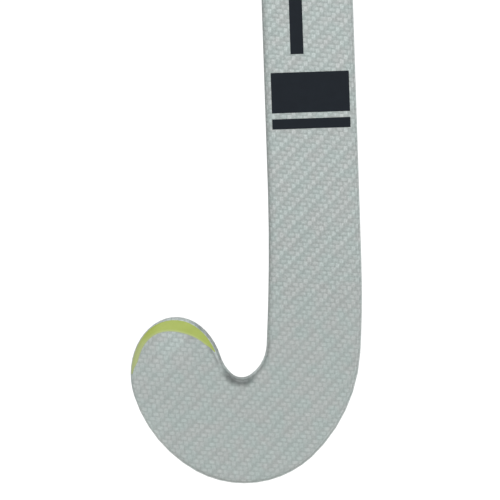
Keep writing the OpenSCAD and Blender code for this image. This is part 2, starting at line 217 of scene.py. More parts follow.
def twill(tree):
    """A 2/2 twill: warp on top, place across and along a float (-1 to 1), chances per float, wale."""
    grid = add(tree, "ShaderNodeUVMap", uv_map="cloth").outputs["UV"]
    # The tows wander a little, as those of a draped cloth do
    drift = add(tree, "ShaderNodeTexNoise", {"Vector": grid, "Scale": 1 / (9 * MM), "Detail": 3.0})
    centred = add(
        tree,
        "ShaderNodeVectorMath",
        {0: drift.outputs["Color"], 1: (0.5, 0.5, 0.5)},
        operation="SUBTRACT",
    )
    wander = add(
        tree, "ShaderNodeVectorMath", {0: centred.outputs[0], "Scale": 0.3 * MM}, operation="SCALE"
    )
    moved = add(
        tree, "ShaderNodeVectorMath", {0: grid, 1: wander.outputs[0]}, operation="ADD"
    ).outputs[0]
    tows = []
    for turn, pitch in (
        (-cloth_turn, warp_pitch), (math.pi / 2 - cloth_turn - weft_slope, weft_pitch)
    ):
        counter = (math.cos(turn) / pitch, math.sin(turn) / pitch, 0)
        line = add(
            tree, "ShaderNodeVectorMath", {0: moved, 1: counter}, operation="DOT_PRODUCT"
        ).outputs["Value"]
        number = add(tree, "ShaderNodeMath", {0: line}, operation="FLOOR").outputs[0]
        within = add(tree, "ShaderNodeMath", {0: line}, operation="FRACT").outputs[0]
        middle = add(
            tree, "ShaderNodeMath", {0: within, 1: 2.0, 2: -1.0}, operation="MULTIPLY_ADD"
        ).outputs[0]
        tows.append((number, within, middle))
    (warp, in_warp, over_warp), (weft, in_weft, over_weft) = tows
    # Every tow goes over two and under two, one step further on the next tow
    moved_on = add(tree, "ShaderNodeMath", {0: weft, 1: warp}, operation="SUBTRACT").outputs[0]
    repeat = add(tree, "ShaderNodeMath", {0: moved_on, 1: 0.25}, operation="MULTIPLY").outputs[0]
    repeat = add(tree, "ShaderNodeMath", {0: repeat}, operation="FLOOR").outputs[0]
    phase = add(
        tree, "ShaderNodeMath", {0: repeat, 1: -4.0, 2: moved_on}, operation="MULTIPLY_ADD"
    ).outputs[0]
    warp_on_top = add(tree, "ShaderNodeMath", {0: phase, 1: 1.5}, operation="LESS_THAN").outputs[0]
    along_warp = add(tree, "ShaderNodeMath", {0: phase, 1: in_weft}, operation="ADD").outputs[0]
    along_warp = add(
        tree, "ShaderNodeMath", {0: along_warp, 1: 1.0}, operation="SUBTRACT"
    ).outputs[0]
    along_weft = add(
        tree, "ShaderNodeMath", {0: in_warp, 1: phase}, operation="SUBTRACT"
    ).outputs[0]
    along_weft = add(tree, "ShaderNodeMath", {0: along_weft, 1: 2.0}, operation="ADD").outputs[0]
    along = add(
        tree, "ShaderNodeMix", {"Factor": warp_on_top, "A": along_weft, "B": along_warp}
    ).outputs["Result"]
    across = add(
        tree, "ShaderNodeMix", {"Factor": warp_on_top, "A": over_weft, "B": over_warp}
    ).outputs["Result"]
    tow = add(
        tree, "ShaderNodeMix", {"Factor": warp_on_top, "A": weft, "B": warp}
    ).outputs["Result"]
    float_name = add(tree, "ShaderNodeCombineXYZ", {0: tow, 1: repeat, 2: warp_on_top}).outputs[0]
    chance = add(
        tree, "ShaderNodeTexWhiteNoise", {"Vector": float_name}, noise_dimensions="3D"
    ).outputs["Color"]
    # The diagonal wale: 0 to 4 from one to the next
    wale = add(tree, "ShaderNodeMath", {0: phase, 1: in_weft}, operation="ADD").outputs[0]
    wale = add(tree, "ShaderNodeMath", {0: wale, 1: in_warp}, operation="SUBTRACT").outputs[0]
    return warp_on_top, across, along, add(tree, "ShaderNodeSeparateXYZ", {0: chance}).outputs, wale


def crowned(tree, across, along, power, side_depth, end_depth):
    """A value that is 1 on the crown of a float and falls by the depths towards its sides and ends."""
    falls = []
    for place, depth in ((across, side_depth), (along, end_depth)):
        out = add(tree, "ShaderNodeMath", {0: place}, operation="ABSOLUTE").outputs[0]
        far = add(tree, "ShaderNodeMath", {0: out, 1: power}, operation="POWER").outputs[0]
        fall = add(tree, "ShaderNodeMath", {0: far, 1: depth}, operation="MULTIPLY").outputs[0]
        falls.append(
            add(tree, "ShaderNodeMath", {0: 1.0, 1: fall}, operation="SUBTRACT").outputs[0]
        )
    return add(tree, "ShaderNodeMath", {0: falls[0], 1: falls[1]}, operation="MULTIPLY").outputs[0]


def step(tree, value, span, levels):
    """A smooth step from one level to another while a value crosses a span."""
    inputs = {
        "Value": value,
        "From Min": span[0],
        "From Max": span[1],
        "To Min": levels[0],
        "To Max": levels[1],
    }
    return add(
        tree, "ShaderNodeMapRange", inputs, interpolation_type="SMOOTHSTEP"
    ).outputs["Result"]


def lit_part(tree, across, along, across_span, along_span, level):
    """The painted lit part of a float: each span is its middle, its full reach and where it ends."""
    for place, (middle, full, end) in ((across, across_span), (along, along_span)):
        off = add(tree, "ShaderNodeMath", {0: place, 1: middle}, operation="SUBTRACT").outputs[0]
        off = add(tree, "ShaderNodeMath", {0: off}, operation="ABSOLUTE").outputs[0]
        level = step(tree, off, (full, end), (level, 0.0))
    return level


def ramp(tree, lean, stops):
    """A shade that follows how far the surface leans over from the face, by stops in degrees."""
    node = add(tree, "ShaderNodeValToRGB", {"Fac": lean})
    elements = node.color_ramp.elements
    for place, shade in stops[1:-1]:
        elements.new(place / 180)
    for element, (place, shade) in zip(elements, stops):
        element.position = place / 180
        element.color = (shade, shade, shade, 1)
    return node.outputs["Color"]


def near(tree, centre, full, none):
    """How near the surface is to a line through the stick: 1 up to one radius, 0 from another."""
    place = add(tree, "ShaderNodeTexCoord").outputs["Object"]
    away = add(tree, "ShaderNodeVectorMath", {0: place, 1: centre}, operation="SUBTRACT").outputs[0]
    level = add(
        tree, "ShaderNodeVectorMath", {0: away, 1: (1, 0, 1)}, operation="MULTIPLY"
    ).outputs[0]
    distance = add(tree, "ShaderNodeVectorMath", {0: level}, operation="LENGTH").outputs["Value"]
    return step(tree, distance, (full, none), (1.0, 0.0)), level


# Aluminium-coated glass cloth in clear epoxy: bright upright floats with painted shade where they
# dive under the next tow, duller level ones, and a faint green cast that drifts over the face
silver, tree, surface = new_material("aluminised glass twill under lacquer")
warp_on_top, across, along, chance, wale = twill(tree)
# Painted light: the upright floats are painted the brighter ones on the shaft, and the level ones
# on the head, where the light falls on the cloth the other way
height_up = add(
    tree, "ShaderNodeSeparateXYZ", {0: add(tree, "ShaderNodeTexCoord").outputs["Object"]}
).outputs[2]
head_to_shaft = (60 * MM, 120 * MM)
on_shaft = step(tree, height_up, head_to_shaft, (0.0, 1.0))
warp_level = add(
    tree, "ShaderNodeMapRange", {"Value": on_shaft, "To Min": 0.55, "To Max": 0.98}
).outputs["Result"]
weft_level = 0.75
weft_middle = add(
    tree, "ShaderNodeMapRange", {"Value": on_shaft, "To Min": 0.0, "To Max": 0.3}
).outputs["Result"]
warp_bright = lit_part(tree, across, along, (0.0, 0.9, 1.8), (0.5, 0.25, 0.85), warp_level)
weft_bright = lit_part(tree, across, along, (weft_middle, 0.3, 1.2), (0.05, 0.25, 0.95), weft_level)
# Painted shade: the dull unlit parts of the floats, and thin dark lines where a float dips between
# its neighbours, faint ones along the upright floats
unlit = add(
    tree, "ShaderNodeMapRange", {"Value": chance[1], "To Min": 0.25, "To Max": 0.45}
).outputs["Result"]
floats = []
for lit, power, side_depth, end_depth in (
    (weft_bright, 4.0, 0.75, 0.8), (warp_bright, 6.0, 0.2, 0.6)
):
    lit = add(tree, "ShaderNodeMix", {"Factor": lit, "A": unlit, "B": 1.0}).outputs["Result"]
    dips = crowned(tree, across, along, power, side_depth, end_depth)
    floats.append(add(tree, "ShaderNodeMath", {0: lit, 1: dips}, operation="MULTIPLY").outputs[0])
bright = add(
    tree, "ShaderNodeMix", {"Factor": warp_on_top, "A": floats[0], "B": floats[1]}
).outputs["Result"]
shade_range = add(
    tree, "ShaderNodeMapRange", {"Value": chance[0], "To Min": 0.96, "To Max": 1.04}
).outputs["Result"]
# Fine streaks of single fibres along each tow
fibre_across = add(tree, "ShaderNodeMath", {0: across, 1: 5.0}, operation="MULTIPLY").outputs[0]
fibre_place = add(
    tree, "ShaderNodeCombineXYZ", {0: fibre_across, 1: along, 2: chance[0]}
).outputs[0]
fibres = add(tree, "ShaderNodeTexNoise", {"Vector": fibre_place, "Scale": 1.5, "Detail": 2.0})
fibre_range = add(
    tree, "ShaderNodeMapRange", {"Value": fibres.outputs["Fac"], "To Min": 0.86, "To Max": 1.14}
).outputs["Result"]
tow_light = add(
    tree, "ShaderNodeMath", {0: shade_range, 1: fibre_range}, operation="MULTIPLY"
).outputs[0]
tow_shaded = add(
    tree, "ShaderNodeVectorMath", {0: paint("#d8dfdd")[:3], "Scale": tow_light}, operation="SCALE"
)
cloth_colour = add(
    tree,
    "ShaderNodeMix",
    {"Factor": bright, "A": paint("#acb5b2"), "B": tow_shaded.outputs[0]},
    data_type="RGBA",
)
# The weave's contrast is softened with one plain colour, and most on the head
clearness = add(
    tree, "ShaderNodeMapRange", {"Value": on_shaft, "To Min": 0.65, "To Max": 0.73}
).outputs["Result"]
cloth_colour = add(
    tree,
    "ShaderNodeMix",
    {"Factor": clearness, "A": paint("#c2cac7"), "B": cloth_colour.outputs["Result"]},
    data_type="RGBA",
)
place = add(tree, "ShaderNodeTexCoord").outputs["Object"]
cast = add(tree, "ShaderNodeTexNoise", {"Vector": place, "Scale": 1 / (7 * MM), "Detail": 1.0})
cast_range = add(
    tree,
    "ShaderNodeMapRange",
    {"Value": cast.outputs["Fac"], "From Min": 0.35, "From Max": 0.65},
)
resin_tint = add(
    tree,
    "ShaderNodeMix",
    {"Factor": cast_range.outputs["Result"], "A": paint("#fffdfe"), "B": paint("#faffff")},
    data_type="RGBA",
)
# Thin dark and pale lines run round the edge of the face, and differ along the throat, the root
# of the toe, the heel, the sole, the front of the toe and the shaft. They are painted shade and
# painted highlights that stand for the light on the rounding, set by how far the surface leans
# over, so here they stay as they are in any light
normal = add(tree, "ShaderNodeNewGeometry").outputs["Normal"]
facing = add(
    tree, "ShaderNodeVectorMath", {0: normal, 1: (0, -1, 0)}, operation="DOT_PRODUCT"
).outputs["Value"]
lean = add(tree, "ShaderNodeMath", {0: facing}, operation="ARCCOSINE").outputs[0]
lean = add(tree, "ShaderNodeMath", {0: lean, 1: math.pi}, operation="DIVIDE").outputs[0]
throat_edge = ramp(
    tree,
    lean,
    ((0, 1), (17, 0.9), (26, 0.79), (36, 0.62), (47, 0.73), (58, 1.12), (90, 1.3), (108, 1)),
)
root_edge = ramp(
    tree,
    lean,
    (
        (0, 1),
        (5, 1),
        (10, 0.79),
        (17, 0.88),
        (28, 1.08),
        (38, 0.99),
        (48, 0.74),
        (88, 0.76),
        (106, 1),
    ),
)
heel_edge = ramp(
    tree,
    lean,
    (
        (0, 1),
        (9, 0.96),
        (17, 0.94),
        (27, 1.08),
        (37, 0.99),
        (47, 0.88),
        (60, 1.2),
        (88, 1.3),
        (104, 1),
    ),
)
sole_edge = ramp(
    tree,
    lean,
    (
        (0, 1),
        (8, 0.98),
        (20, 0.96),
        (30, 0.9),
        (39, 0.7),
        (47, 0.92),
        (56, 1.15),
        (88, 1.2),
        (104, 1),
    ),
)
front_edge = ramp(
    tree,
    lean,
    ((0, 1), (8, 1.04), (18, 1.1), (30, 1.16), (45, 1.12), (60, 1.14), (88, 1.1), (104, 1)),
)
shaft_edge = ramp(tree, lean, ((0, 1), (36, 1), (47, 0.88), (84, 0.74), (94, 1)))
throat_box = frame["record"]["physics"]["openings"][0]["box_m"]
throat = Vector(
    ((throat_box[0][0] + throat_box[1][0]) / 2 - 0.6 * MM, 0, throat_box[0][2] + 2.2 * MM)
)
toe_root = throat + Vector((-14 * MM, 0, 13 * MM))
root_reach = (9 * MM, 17 * MM)
throat_reach = (10 * MM, 25 * MM)
by_root = near(tree, toe_root, *root_reach)[0]
by_throat = near(tree, throat, *throat_reach)[0]
by_throat = add(
    tree, "ShaderNodeMath", {0: by_throat, 1: by_root}, operation="SUBTRACT", use_clamp=True
).outputs[0]
leans_to = add(tree, "ShaderNodeSeparateXYZ", {0: normal}).outputs
towards_heel = add(tree, "ShaderNodeSeparateXYZ", {0: place}).outputs[0]
heel_starts = (15 * MM, 30 * MM)
heel_side = step(tree, towards_heel, heel_starts, (0.0, 1.0))
heel_side = step(tree, leans_to[0], (0.0, 0.15), (0.0, heel_side))
toe_side = step(tree, leans_to[0], (-0.5, -0.9), (0.0, on_shaft))
# The way that the outline faces, whatever the surface leans
in_plane = add(
    tree, "ShaderNodeVectorMath", {0: normal, 1: (1, 0, 1)}, operation="MULTIPLY"
).outputs[0]
in_plane = add(tree, "ShaderNodeVectorMath", {0: in_plane}, operation="NORMALIZE").outputs[0]
outline_turn = add(tree, "ShaderNodeSeparateXYZ", {0: in_plane}).outputs
sole_side = step(tree, outline_turn[2], (-0.6, -0.9), (0.0, 1.0))
toe_front_starts = (-36 * MM, -48 * MM)
front_side = step(tree, towards_heel, toe_front_starts, (0.0, 1.0))
front_side = step(tree, outline_turn[0], (-0.5, -0.85), (0.0, front_side))
# A dark line is painted across the edge at the root of the toe, by the film's end
root_line_place = Vector((-12.4 * MM, 0, 56.9 * MM))
across_root_line = (-0.9, 0, -0.433)
root_line_width = (0.2 * MM, 1.1 * MM)
from_root_line = add(
    tree, "ShaderNodeVectorMath", {0: place, 1: root_line_place}, operation="SUBTRACT"
).outputs[0]
off_root_line = add(
    tree, "ShaderNodeVectorMath", {0: from_root_line, 1: across_root_line}, operation="DOT_PRODUCT"
).outputs["Value"]
off_root_line = add(tree, "ShaderNodeMath", {0: off_root_line}, operation="ABSOLUTE").outputs[0]
root_dark_line = step(tree, off_root_line, root_line_width, (by_root, 0.0))
root_dark_line = step(tree, lean, (50 / 180, 80 / 180), (root_dark_line, 0.0))
# Painted shade: a dark patch of shade and dark reflection at the bottom of the tight throat.
# What darkens it on a real stick is a guess
throat_shade_reach = (8.8 * MM, 12.0 * MM)
throat_shade_down = (-0.25, 0, -0.968)
throat_shade, level = near(tree, throat, *throat_shade_reach)
downward = add(tree, "ShaderNodeVectorMath", {0: level}, operation="NORMALIZE").outputs[0]
downward = add(
    tree, "ShaderNodeVectorMath", {0: downward, 1: throat_shade_down}, operation="DOT_PRODUCT"
).outputs["Value"]
throat_shaded = step(tree, downward, (0.25, 0.95), (0.0, throat_shade))
shade_fade = step(tree, lean, (22 / 180, 36 / 180), (1.0, 0.6))
throat_shaded = add(tree, "ShaderNodeMath", {0: throat_shaded, 1: shade_fade}, operation="MULTIPLY").outputs[0]
throat_shaded = step(tree, lean, (90 / 180, 115 / 180), (throat_shaded, 0.0))
colour = add(
    tree,
    "ShaderNodeMix",
    {"Factor": 1.0, "A": cloth_colour.outputs["Result"], "B": resin_tint.outputs["Result"]},
    data_type="RGBA",
    blend_type="MULTIPLY",
).outputs["Result"]
# The diagonal wales get a painted highlight along a line on each, and a fine noise stands for
# painted glints of single fibres
wale_crest = add(
    tree, "ShaderNodeMapRange", {"Value": on_shaft, "To Min": 1.7, "To Max": 0.9}
).outputs["Result"]
from_crest = add(tree, "ShaderNodeMath", {0: wale, 1: wale_crest}, operation="SUBTRACT").outputs[0]
wale_turn = add(
    tree, "ShaderNodeMath", {0: from_crest, 1: math.tau / 4}, operation="MULTIPLY"
).outputs[0]
wale_wave = add(tree, "ShaderNodeMath", {0: wale_turn}, operation="COSINE").outputs[0]
wale_reach = add(
    tree, "ShaderNodeMapRange", {"Value": on_shaft, "To Min": 0.008, "To Max": 0.014}
).outputs["Result"]
glitter = add(
    tree, "ShaderNodeTexNoise", {"Vector": place, "Scale": 1 / (0.7 * MM), "Detail": 1.0}
).outputs["Fac"]
glitter_reach = add(
    tree, "ShaderNodeMapRange", {"Value": on_shaft, "To Min": 0.33, "To Max": 0.55}
).outputs["Result"]
glitter = add(tree, "ShaderNodeMath", {0: glitter, 1: 0.5}, operation="SUBTRACT").outputs[0]
glitter = add(
    tree, "ShaderNodeMath", {0: glitter, 1: glitter_reach, 2: 1.0}, operation="MULTIPLY_ADD"
).outputs[0]
cloth_light = add(
    tree, "ShaderNodeMath", {0: wale_wave, 1: wale_reach, 2: glitter}, operation="MULTIPLY_ADD"
).outputs[0]
colour = add(
    tree, "ShaderNodeVectorMath", {0: colour, "Scale": cloth_light}, operation="SCALE"
).outputs[0]
for share, shading in (
    (by_throat, throat_edge),
    (by_root, root_edge),
    (heel_side, heel_edge),
    (sole_side, sole_edge),
    (front_side, front_edge),
    (toe_side, shaft_edge),
    (root_dark_line, (0.8, 0.8, 0.8, 1)),
    (throat_shaded, (0.33, 0.34, 0.34, 1)),
):
    colour = add(
        tree,
        "ShaderNodeMix",
        {"Factor": share, "A": colour, "B": shading},
        data_type="RGBA",
        blend_type="MULTIPLY",
    ).outputs["Result"]
height = crowned(tree, across, along, 2.0, 0.5, 0.6)
relief = add(tree, "ShaderNodeBump", {"Height": height, "Strength": 1.0, "Distance": 0.1 * MM})
silver_surface = add(
    tree,
    "ShaderNodeBsdfPrincipled",
    {
        "Base Color": colour,
        "Metallic": 0.3,
        "Roughness": 0.5,
        "Normal": relief.outputs["Normal"],
        "Coat Weight": 0.35,
        "Coat Roughness": 0.18,
    },
)
tree.links.new(silver_surface.outputs[0], surface)

shell = welded_copy("shell")
lay_cloth(shell)
finish_piece(shell, "moulded_shell", "shell", [silver])

# ---- Toe bevel film ------------------------------------------------------------------------
# A crescent of lime vinyl, cut to shape and laid on the bevel round the end of the toe. Its edge
# is folded over the rim, and it lies under the same lacquer as the cloth.

# Cast vinyl, printed lime: satin, with a painted highlight along its edge on the face, painted
# paler at its tail down the front of the toe, and painted shade round the rim
lime, tree, surface = new_material("lime vinyl film")
place = add(tree, "ShaderNodeTexCoord").outputs["Object"]
mottle = add(tree, "ShaderNodeTexNoise", {"Vector": place, "Scale": 1 / (6 * MM), "Detail": 2.0})
lime_colour = add(
    tree,
    "ShaderNodeMix",
    {"Factor": mottle.outputs["Fac"], "A": paint("#a6b750"), "B": paint("#baca61")},
    data_type="RGBA",
)
film_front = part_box("toe_bevel_film")[0].y
film_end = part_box("toe_bevel_film")[0].x
pale_edge_depth = 0.7 * MM
film_place = add(tree, "ShaderNodeSeparateXYZ", {0: place}).outputs
pale_share = add(
    tree,
    "ShaderNodeMapRange",
    {
        "Value": film_place[1],
        "From Min": film_front,
        "From Max": film_front + pale_edge_depth,
        "To Min": 0.55,
        "To Max": 0.0,
    },
).outputs["Result"]
pale_end = (film_end + 1 * MM, film_end + 10 * MM)
pale_share = step(tree, film_place[0], pale_end, (0.6, pale_share))
lime_paled = add(
    tree,
    "ShaderNodeMix",
    {"Factor": pale_share, "A": lime_colour.outputs["Result"], "B": paint("#c9d3a4")},
    data_type="RGBA",
)
normal = add(tree, "ShaderNodeNewGeometry").outputs["Normal"]
facing = add(
    tree, "ShaderNodeVectorMath", {0: normal, 1: (0, -1, 0)}, operation="DOT_PRODUCT"
).outputs["Value"]
lean = add(tree, "ShaderNodeMath", {0: facing}, operation="ARCCOSINE").outputs[0]
lean = add(tree, "ShaderNodeMath", {0: lean, 1: math.pi}, operation="DIVIDE").outputs[0]
rim_shade = ramp(tree, lean, ((0, 1), (58, 1), (75, 0.92), (90, 0.9)))
film_colour = add(
    tree,
    "ShaderNodeMix",
    {"Factor": 1.0, "A": lime_paled.outputs["Result"], "B": rim_shade},
    data_type="RGBA",
    blend_type="MULTIPLY",
)
film = add(
    tree,
    "ShaderNodeBsdfPrincipled",
    {
        "Base Color": film_colour.outputs["Result"],
        "Roughness": 0.5,
        "Coat Weight": 0.2,
        "Coat Roughness": 0.3,
    },
)
tree.links.new(film.outputs[0], surface)
finish_piece(welded_copy("toe_bevel_film"), "toe_film", "toe_bevel_film", [lime])

# ---- Navy bands and stripe -----------------------------------------------------------------
# Plain screen-printed films on the flat of the face.

navy, tree, surface = new_material("navy printed film")
place = add(tree, "ShaderNodeTexCoord").outputs["Object"]
mottle = add(tree, "ShaderNodeTexNoise", {"Vector": place, "Scale": 1 / (4 * MM), "Detail": 2.0})
navy_colour = add(
    tree,
    "ShaderNodeMix",
    {"Factor": mottle.outputs["Fac"], "A": paint("#1b2128"), "B": paint("#20272f")},
    data_type="RGBA",
)
ink = add(
    tree,
    "ShaderNodeBsdfPrincipled",
    {"Base Color": navy_colour.outputs["Result"], "Roughness": 0.5, "Specular IOR Level": 0.15},
)
tree.links.new(ink.outputs[0], surface)
for node in ("band_decal", "stripe_decal"):
    frame["nodes"][node].material_slots[0].material = navy

# ---- Butt plug -----------------------------------------------------------------------------
# A plug of beech, turned to the handle's hollow and glued into the open top of the shell. A bore
# down its middle takes the cap's stem.

# Beech, turned and bare: pale brown, with fine darker pores drawn out along the grain
beech, tree, surface = new_material("turned beech")
place = add(tree, "ShaderNodeTexCoord").outputs["Object"]
along_grain = add(tree, "ShaderNodeMapping", {"Vector": place, "Scale": (1, 1, 0.04)})
grain = add(
    tree, "ShaderNodeTexNoise", {
        "Vector": along_grain.outputs[0], "Scale": 1 / (1.2 * MM), "Detail": 4.0
    }
)
beech_colour = add(
    tree,
    "ShaderNodeMix",
    {"Factor": grain.outputs["Fac"], "A": paint("#b98c5f"), "B": paint("#dcb88b")},
    data_type="RGBA",
)
pores = add(
    tree, "ShaderNodeBump", {"Height": grain.outputs["Fac"], "Strength": 0.3, "Distance": 0.1 * MM}
)
beech_surface = add(
    tree,
    "ShaderNodeBsdfPrincipled",
    {
        "Base Color": beech_colour.outputs["Result"],
        "Roughness": 0.65,
        "Normal": pores.outputs["Normal"],
    },
)
tree.links.new(beech_surface.outputs[0], surface)
frame["nodes"]["butt_plug"].material_slots[0].material = beech

# ---- Grip underlay -------------------------------------------------------------------------
# A sleeve of thin foam faced with knitted polyester. It is pulled over the handle, below the
# tape, to soften the grip.

# Knitted polyester: charcoal, dull, with a fine dimpled surface
knit, tree, surface = new_material("knitted polyester")
place = add(tree, "ShaderNodeTexCoord").outputs["Object"]
stitches = add(tree, "ShaderNodeTexVoronoi", {"Vector": place, "Scale": 1 / (0.7 * MM)})
knit_colour = add(
    tree,
    "ShaderNodeMix",
    {"Factor": stitches.outputs["Distance"], "A": paint("#4a4c4e"), "B": paint("#2b2c2e")},
    data_type="RGBA",
)
dimples = add(
    tree, "ShaderNodeBump", {
        "Height": stitches.outputs["Distance"], "Strength": 0.6, "Distance": 0.15 * MM
    }
)
knit_surface = add(
    tree,
    "ShaderNodeBsdfPrincipled",
    {
        "Base Color": knit_colour.outputs["Result"],
        "Roughness": 0.95,
        "Normal": dimples.outputs["Normal"],
    },
)
tree.links.new(knit_surface.outputs[0], surface)
frame["nodes"]["grip_underlay"].material_slots[0].material = knit

# ---- Grip tape -----------------------------------------------------------------------------
# One strip of soft polyurethane, wound up the handle from the lower end, each turn lapped over
# the one below it. It is punched with small holes so that it breathes.

tape_pitch = 25 * MM
handle_round = 112 * MM
holes_round = 28
hole_rows = 8
hole_radius = 0.65 * MM
handle = (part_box("grip_tape")[0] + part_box("grip_tape")[1]) / 2


def lay_winding(form, pitch):
    """Lay a grid along a winding, in metres: the way along the strip and the height across it."""
    grid = form.loops.layers.uv.new("winding")
    for face in form.faces:
        centre = face.calc_center_median() - handle
        middle = math.atan2(centre.y, centre.x)
        for loop in face.loops:
            p = loop.vert.co
            angle = math.atan2(p.y - handle.y, p.x - handle.x)
            turns = (angle + round((middle - angle) / math.tau) * math.tau) / math.tau
            loop[grid].uv = (turns * handle_round, p.z - turns * pitch)


# Soft polyurethane, tacky and dark navy: a fine leather-like grain, rows of punched holes, and
# a soft sheen that breaks up where the strip is stretched
pu, tree, surface = new_material("perforated polyurethane")
grid = add(tree, "ShaderNodeUVMap", uv_map="winding").outputs["UV"]
hole_step = handle_round / holes_round
row_step = tape_pitch / hole_rows
in_steps = add(
    tree, "ShaderNodeVectorMath", {
        0: grid, 1: (1 / hole_step, 1 / row_step, 0)
    }, operation="MULTIPLY"
).outputs[0]
steps = add(tree, "ShaderNodeSeparateXYZ", {0: in_steps})
row = add(tree, "ShaderNodeMath", {0: steps.outputs[1]}, operation="FLOOR").outputs[0]
# Every other row is moved on by half a step
staggered = add(
    tree, "ShaderNodeMath", {0: row, 1: 0.5, 2: steps.outputs[0]}, operation="MULTIPLY_ADD"
).outputs[0]
from_hole = []
for share, size in ((staggered, hole_step), (steps.outputs[1], row_step)):
    within = add(tree, "ShaderNodeMath", {0: share}, operation="FRACT").outputs[0]
    centred = add(tree, "ShaderNodeMath", {0: within, 1: 0.5}, operation="SUBTRACT").outputs[0]
    from_hole.append(
        add(tree, "ShaderNodeMath", {0: centred, 1: size}, operation="MULTIPLY").outputs[0]
    )
away = add(tree, "ShaderNodeCombineXYZ", {0: from_hole[0], 1: from_hole[1]}).outputs[0]
distance = add(tree, "ShaderNodeVectorMath", {0: away}, operation="LENGTH").outputs["Value"]
solid = add(
    tree,
    "ShaderNodeMapRange",
    {"Value": distance, "From Min": hole_radius * 0.7, "From Max": hole_radius * 1.3},
    interpolation_type="SMOOTHSTEP",
).outputs["Result"]
place = add(tree, "ShaderNodeTexCoord").outputs["Object"]
leather = add(tree, "ShaderNodeTexVoronoi", {"Vector": place, "Scale": 1 / (0.9 * MM)})
creases = add(tree, "ShaderNodeTexNoise", {"Vector": place, "Scale": 1 / (7 * MM), "Detail": 3.0})
pu_colour = add(
    tree,
    "ShaderNodeMix",
    {"Factor": creases.outputs["Fac"], "A": paint("#232a33"), "B": paint("#323b47")},
    data_type="RGBA",
)
# The holes are painted near black: the dark underlay below them, and painted shade inside
pu_holes = add(
    tree,
    "ShaderNodeMix",
    {"Factor": solid, "A": paint("#101317"), "B": pu_colour.outputs["Result"]},
    data_type="RGBA",
)
hollow = add(tree, "ShaderNodeBump", {"Height": solid, "Strength": 1.0, "Distance": 0.4 * MM})
grain = add(
    tree,
    "ShaderNodeBump",
    {
        "Height": leather.outputs["Distance"],
        "Strength": 0.5,
        "Distance": 0.1 * MM,
        "Normal": hollow.outputs["Normal"],
    },
)
pull = add(
    tree,
    "ShaderNodeBump",
    {
        "Height": creases.outputs["Fac"],
        "Strength": 0.6,
        "Distance": 1.0 * MM,
        "Normal": grain.outputs["Normal"],
    },
)
gloss = add(
    tree, "ShaderNodeMapRange", {"Value": creases.outputs["Fac"], "To Min": 0.38, "To Max": 0.6}
)
pu_surface = add(
    tree,
    "ShaderNodeBsdfPrincipled",
    {
        "Base Color": pu_holes.outputs["Result"],
        "Roughness": gloss.outputs["Result"],
        "Normal": pull.outputs["Normal"],
    },
)
tree.links.new(pu_surface.outputs[0], surface)

tape = welded_copy("grip_tape")
lay_winding(tape, tape_pitch)
finish_piece(tape, "wound_grip", "grip_tape", [pu])

# ---- Finishing tape ------------------------------------------------------------------------
# A few turns of black vinyl tape, stretched as they are wound by hand. They close the grip's
# lower end onto the shaft.

# Plasticised vinyl, stretched as it is wound: black and fairly glossy, with the edges of the
# turns showing as fine steps and slight ripples from the pull
vinyl_turn = 6 * MM
vinyl, tree, surface = new_material("stretched vinyl tape")
grid = add(tree, "ShaderNodeUVMap", uv_map="winding").outputs["UV"]
up = add(tree, "ShaderNodeSeparateXYZ", {0: grid}).outputs[1]
turns = add(tree, "ShaderNodeMath", {0: up, 1: 1 / vinyl_turn}, operation="MULTIPLY").outputs[0]
lap = add(tree, "ShaderNodeMath", {0: turns}, operation="FRACT").outputs[0]
lap_edge = add(
    tree,
    "ShaderNodeMapRange",
    {"Value": lap, "To Min": 0.0, "To Max": 1.0, "From Max": 0.08},
    interpolation_type="SMOOTHSTEP",
).outputs["Result"]
lap_step = add(tree, "ShaderNodeBump", {"Height": lap_edge, "Strength": 0.8, "Distance": 0.15 * MM})
ripple_place = add(tree, "ShaderNodeMapping", {"Vector": grid, "Scale": (0.15, 1, 1)})
ripples = add(
    tree, "ShaderNodeTexNoise", {
        "Vector": ripple_place.outputs[0], "Scale": 1 / (1.5 * MM), "Detail": 2.0
    }
)
ripple = add(
    tree,
    "ShaderNodeBump",
    {
        "Height": ripples.outputs["Fac"],
        "Strength": 0.4,
        "Distance": 0.15 * MM,
        "Normal": lap_step.outputs["Normal"],
    },
)
vinyl_colour = add(
    tree,
    "ShaderNodeMix",
    {"Factor": ripples.outputs["Fac"], "A": paint("#191a1c"), "B": paint("#232527")},
    data_type="RGBA",
)
vinyl_surface = add(
    tree,
    "ShaderNodeBsdfPrincipled",
    {
        "Base Color": vinyl_colour.outputs["Result"],
        "Roughness": 0.32,
        "Normal": ripple.outputs["Normal"],
    },
)
tree.links.new(vinyl_surface.outputs[0], surface)

closing = welded_copy("finishing_tape")
lay_winding(closing, vinyl_turn)
finish_piece(closing, "closing_tape", "finishing_tape", [vinyl])

# ---- Butt cap ------------------------------------------------------------------------------
# A moulded rubber cap, pushed over the butt with its stem in the plug's bore. A shallow dish is
# moulded into its end.

dish_rim = 5 * MM
dish_wall = 0.8 * MM
dish_depth = 0.7 * MM
cap = welded_copy("butt_cap")
cap_top = max(vert.co.z for vert in cap.verts)
end_faces = [face for face in cap.faces if face.calc_center_median().z > cap_top - 0.01 * MM]
end = bmesh.ops.dissolve_faces(cap, faces=end_faces)["region"]
bmesh.ops.inset_region(cap, faces=end, thickness=dish_rim, depth=0, use_even_offset=True)
bmesh.ops.inset_region(cap, faces=end, thickness=dish_wall, depth=-dish_depth, use_even_offset=True)

